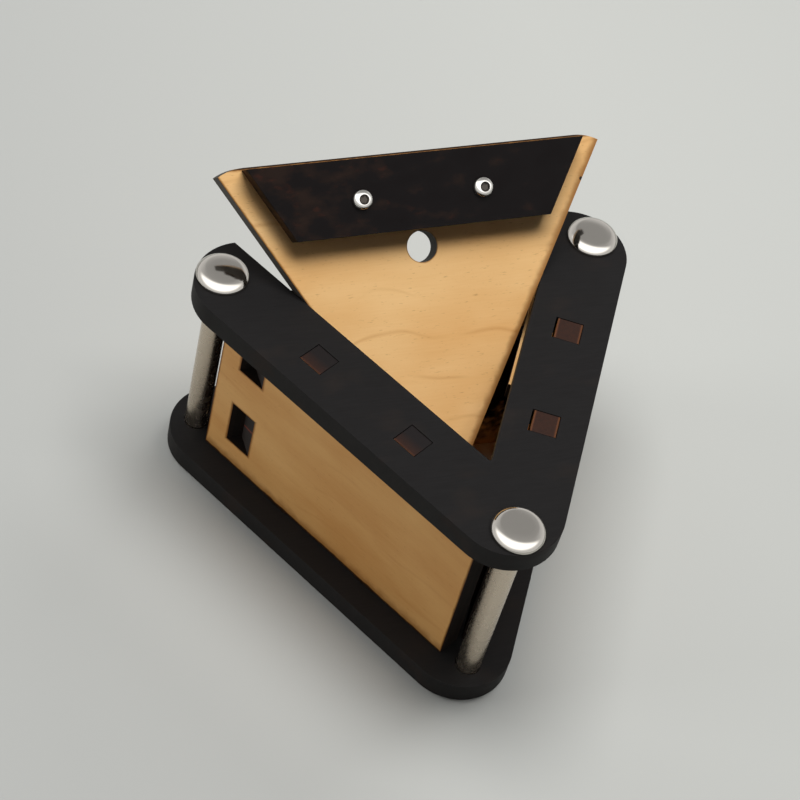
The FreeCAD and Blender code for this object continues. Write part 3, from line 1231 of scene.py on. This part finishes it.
@dataclass(frozen=True)
class Hardware:
    """The steel parts: corner posts with domed heads, their screws, the lid's screws and the lock pin."""

    barrel_radius: float = 3.15
    barrel_foot: float = 4.2
    barrel_chamfer: float = 0.3
    head_radius: float = 6.75
    head_rim: float = 0.7
    rim_ease: float = 0.18
    crown_radius: float = 4.3
    shoulder: float = 2.5
    shoulder_bulge: float = 0.25
    head_height: float = 3.0
    lid_screw_spacing: float = 32.0
    lid_screw_y: float = 28.4975
    lid_socket: float = 1.3

    def post_profile(self) -> Profile:
        """A barrel under a domed head with a thin rim.

        Returns:
            The outline.
        """
        foot, chamfer, ease, bulge = self.barrel_foot, self.barrel_chamfer, self.rim_ease, self.shoulder_bulge
        outline = Profile().to((0, foot), (self.barrel_radius - chamfer, foot), (self.barrel_radius, foot + chamfer))
        outline.to((self.barrel_radius, TOP_Z), (self.head_radius - ease, TOP_Z))
        outline.arc((self.head_radius - ease, TOP_Z + ease), ease, -90, 0, 4)
        outline.to((self.head_radius, TOP_Z + self.head_rim))
        halfway = (self.head_radius + self.crown_radius) / 2, TOP_Z + (self.head_rim + self.shoulder) / 2
        bend = (halfway[0] + bulge, halfway[1] + bulge)
        outline.through(bend, (self.crown_radius, TOP_Z + self.shoulder), 12)
        rise = self.head_height - self.shoulder
        ball = (self.crown_radius**2 + rise**2) / (2 * rise)
        edge = 90 - math.degrees(math.asin(self.crown_radius / ball))
        outline.steps.pop()
        return outline.arc((0, TOP_Z + self.head_height - ball), ball, edge, 90, 10)

    def button_profile(self) -> Profile:
        """A button-head screw with a hexagon socket, its head's underside at height 0."""
        outline = Profile().to((0, -8.0), (1.2, -8.0), (1.5, -7.7), (1.5, 0.0), (2.6, 0.0), (2.75, 0.12))
        outline.through((2.283, 1.19), (1.2375, 1.65), 9)
        return outline.to((1.21, 1.65), (1.155, 1.58, 1.0), (1.155, 0.68, 1.0), (0, 0.35))

    def countersunk_profile(self) -> Profile:
        """A flat-headed screw, head down, with a hexagon socket in its underside."""
        outline = Profile().to((0, 1.75), (1.443, 1.5, 1.0), (1.443, 0.36, 1.0), (1.52, 0.3), (3.88, 0.3), (4.0, 0.4))
        return outline.to((1.95, 2.35), (1.95, 10.0), (1.65, 10.3), (0, 10.3))

    def pin_profile(self) -> Profile:
        """A headed pin with a rounded end, its head's underside at height 0."""
        outline = Profile().to((0, -8.0)).arc((1.6, -7.6), 0.4, -90, 0, 4)
        return outline.to((2.0, 0.0), (2.85, 0.0), (3.0, 0.15), (3.0, 0.65), (2.85, 0.8), (0, 0.8))

    def parts(self, lid: Lid) -> list[TurnedParts]:
        """All the steel parts.

        Args:
            lid: The lid that some of them sit in.

        Returns:
            One entry for each piece of the scene.
        """
        half, reach, sheet = POST_SPACING / 2, self.lid_screw_spacing / 2, lid.sheet
        corners = tuple(Vector(c) * MM for c in ((-half, REAR_Y, 0), (half, REAR_Y, 0), (0, FRONT_Y, 0)))
        screws = tuple(sheet.place(way * reach, self.lid_screw_y, lid.bar_thickness) for way in (-1, 1))
        post_steel = TurnedSteel("post_steel", roughness=0.1, smudge=0.06, satin=0.14, satin_below=TOP_Z)
        foot_steel = TurnedSteel("foot_screw_steel", colour="#9A978F", roughness=0.3)
        socket = (reach, self.lid_screw_y, self.lid_socket)
        button_steel = TurnedSteel("button_steel", colour="#D5D2CC", roughness=0.07, smudge=0.05, socket=socket)
        pin_steel = TurnedSteel("pin_steel", colour="#BDBAB4", roughness=0.25)
        # A hexagon socket looks the same after a sixth of a turn, so the screws stop anywhere within it
        sixth = math.pi / 6
        # Each row: piece, nodes, body, slot, outline, places, sheet, finish, sides, turn spread and seed
        rows = (
            ("corner_posts", ("left_post", "right_post", "front_post"), Body.BOX, Slot.SATIN,
             self.post_profile(), corners, LEVEL, post_steel, 96),
            ("foot_screws", ("base_screws",), Body.BOX, Slot.SATIN,
             self.countersunk_profile(), corners, LEVEL, foot_steel, 72, sixth, 4),
            ("button_screws", ("lid_screws",), Body.LID, Slot.BRIGHT,
             self.button_profile(), screws, sheet, button_steel, 72, sixth, 9),
            ("trap_pin", ("lock_pin",), Body.PIN, Slot.BRIGHT,
             self.pin_profile(), (sheet.place(0, REAR_Y, 0),), sheet, pin_steel),
        )
        return [TurnedParts(*row) for row in rows]


# The studio


@dataclass(frozen=True)
class Lamp:
    """A soft box that looks at the object. share is how much of the plain level it gives a face turned to it."""

    name: str
    place: Triple
    size: Pair
    share: float
    aim: Triple = (0.0, 0.0, 0.04)

    def build(self) -> None:
        """Hang the lamp."""
        light = bpy.data.lights.new(self.name, "AREA")
        light.shape = "RECTANGLE"
        light.size, light.size_y = self.size
        away = Vector(self.place) - Vector(self.aim)
        # A small lamp of power P lights a face at distance d with P / (pi d d), and the plain level is pi
        light.energy = self.share * math.pi**2 * away.length_squared
        lamp = bpy.data.objects.new(self.name, light)
        lamp.location = self.place
        lamp.rotation_mode = "QUATERNION"
        lamp.rotation_quaternion = away.to_track_quat("Z", "Y")
        lamp.visible_glossy = False
        bpy.context.scene.collection.objects.link(lamp)


@dataclass(frozen=True)
class Camera:
    """The photograph's camera: its place in millimetres, its focal length in pixels, and where its axes point."""

    place: Triple = (-188.9153, -324.4479, 482.9443)
    focal: float = 2269.4746
    frame: int = 800
    sensor: float = 36.0
    right: Triple = (0.9423780, -0.2823071, 0.1795170)
    down: Triple = (-0.1146057, -0.7765405, -0.6195566)
    ahead: Triple = (0.3143075, 0.5632829, -0.7641487)

    def build(self) -> None:
        """Set up the camera."""
        data = bpy.data.cameras.new("photo_camera")
        data.sensor_width = self.sensor
        data.lens = self.focal / self.frame * self.sensor
        data.clip_start, data.clip_end = 0.01, 30.0
        camera = bpy.data.objects.new("photo_camera", data)
        axes = Matrix((self.right, [-v for v in self.down], [-v for v in self.ahead])).transposed()
        camera.matrix_world = Matrix.Translation(Vector(self.place) * MM) @ axes.to_4x4()
        bpy.context.scene.collection.objects.link(camera)
        bpy.context.scene.camera = camera


@dataclass(frozen=True)
class Studio:
    """A pale paper floor in a soft light tent."""

    floor_radius: float = 2.5
    # Painted light: the floor goes from paper_left to the paler paper_right_lit, as more light falls on the right
    paper_left: str = "#A8A9A6"
    paper_right_lit: str = "#B4B5B1"
    paper_reach: float = 100.0
    bounced: str = "#8E8E8B"
    backdrop_level: float = 1.3
    ambient: float = 0.0
    lamps: tuple[Lamp, ...] = (
        Lamp("key", (0.06, 0.14, 1.0), (0.8, 0.36), 1.42),
        Lamp("back_fill", (0.8, 0.55, 1.0), (0.6, 0.5), 0.2),
        Lamp("wall_fill", (-1.0, 0.2, 0.2), (0.4, 0.4), 0.44),
    )
    # What polished metal sees of the tent: sine of the elevation, and the brightness there
    mirrored: tuple[Pair, ...] = ((0.0, 0.85), (0.3, 0.78), (0.6, 0.62), (0.8, 0.5), (1.0, 0.5))
    # A bright strip overhead, from side to side, which the front slopes of the domes mirror as a white crescent.
    # It lies where the direction's part along this axis is near the middle, and fades towards the horizon
    strip: Triple = (0.441, 0.791, 0.423)
    strip_middle: float = -0.22
    strip_edge: Pair = (0.76, 0.42)
    strip_fade: Pair = (0.3, 0.62)
    strip_level: float = 2.2
    # A grey gap in the tent behind the object, which the crowns of the domes mirror
    gap: Triple = (0.314, 0.563, 0.764)
    gap_edge: Pair = (0.84, 0.95)
    gap_level: float = 0.4
    # A curve's values go up to 1, so the levels are kept in it as shares of this one
    top_level: float = 4.0

    def build(self) -> None:
        """Lay the floor, hang the lamps and light the tent."""
        for lamp in self.lamps:
            lamp.build()
        self.light_tent()
        mesh = bpy.data.meshes.new("paper_floor")
        work = bmesh.new()
        bmesh.ops.create_circle(work, cap_ends=True, radius=self.floor_radius, segments=96)
        work.to_mesh(mesh)
        work.free()
        floor = new_object("paper_floor", mesh)
        floor.data.materials.append(self.paper_material())

    def paper_material(self) -> Material:
        """Matt background paper with a barely visible tooth.

        Returns:
            The material.
        """
        paint = Paint("background_paper", LEVEL)
        # Light that the paper throws on the box comes off a darker tone, so that the walls keep their shade
        path = paint.add("LightPath").outputs
        seen = paint.add("Math", path["Is Camera Ray"], path["Is Glossy Ray"], operation="MAXIMUM")
        # Painted light: paler towards the right, over paper_reach either side of the middle
        across = paint.add("SeparateXYZ", paint.spot).outputs[0]
        side = paint.add("MapRange", across, -self.paper_reach, self.paper_reach)
        tone = paint.layered(self.bounced, (seen, paint.layered(self.paper_left, (side, self.paper_right_lit))))
        paint.finish(tone, 0.9, 0.1, (paint.noise((0.8, 0.8, 0.8), 1.1), 0.1, 0.05))
        return paint.material

    def light_tent(self) -> None:
        """The tent round the object: pale where the camera looks, plain ambient light elsewhere."""
        world = bpy.data.worlds.new("light_tent")
        bpy.context.scene.world = world
        world.use_nodes = True
        add = Graph(world.node_tree).add
        lit = add("Background", {"Color": "#FFFFFF", "Strength": self.ambient})
        seen = add("Background", {"Color": self.paper_left, "Strength": self.backdrop_level})
        direction = add("TexCoord").outputs["Generated"]
        height = add("SeparateXYZ", direction).outputs[2]
        bands = add("FloatCurve", {"Value": height})
        curve = bands.mapping.curves[0]
        for point, (at, level) in zip(curve.points, (self.mirrored[0], self.mirrored[-1])):
            point.location = (at, level / self.top_level)
        for at, level in self.mirrored[1:-1]:
            curve.points.new(at, level / self.top_level)
        for point in curve.points:
            point.handle_type = "VECTOR"
        bands.mapping.update()
        across = add("VectorMath", direction, self.strip, operation="DOT_PRODUCT")
        off = add("Math", across, self.strip_middle, operation="SUBTRACT")
        away = add("Math", off, operation="ABSOLUTE")
        behind = add("VectorMath", direction, self.gap, operation="DOT_PRODUCT")
        near, high, hidden = (
            add("MapRange", value, edge[0], edge[1], interpolation_type="SMOOTHSTEP")
            for value, edge in ((away, self.strip_edge), (height, self.strip_fade), (behind, self.gap_edge))
        )
        strip = add("Math", near, high, operation="MULTIPLY")
        bright = add("Mix", {0: strip, 2: bands, 3: self.strip_level / self.top_level})
        dimmed = add("Mix", {0: hidden, 2: bright, 3: self.gap_level / self.top_level})
        level = add("Math", dimmed, self.top_level, operation="MULTIPLY")
        mirror = add("Background", {"Color": "#FFFFFF", "Strength": level})
        path = add("LightPath").outputs
        mixed = add("MixShader", path["Is Camera Ray"], lit, seen)
        full = add("MixShader", path["Is Glossy Ray"], mixed, mirror)
        add("OutputWorld", {"Surface": full})


def main() -> None:
    """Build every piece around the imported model, then the studio."""
    logging.basicConfig(level=logging.INFO, format="%(name)s: %(message)s")
    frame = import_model()
    lid = Lid()
    for group in (Plates(), Walls(), Runners(), lid):
        for board in group.boards():
            piece = board.build(frame["nodes"])
            LOG.info("%s stands for %s, %d faces", piece.name, board.node, len(piece.data.polygons))
    lathe = Lathe()
    for part in Hardware().parts(lid):
        piece = part.build(lathe)
        LOG.info("%s stands for %s, %d faces", piece.name, ", ".join(part.nodes), len(piece.data.polygons))
    Studio().build()
    Camera().build()
    bpy.context.scene.view_settings.view_transform = "Standard"


if __name__ == "__main__":
    main()
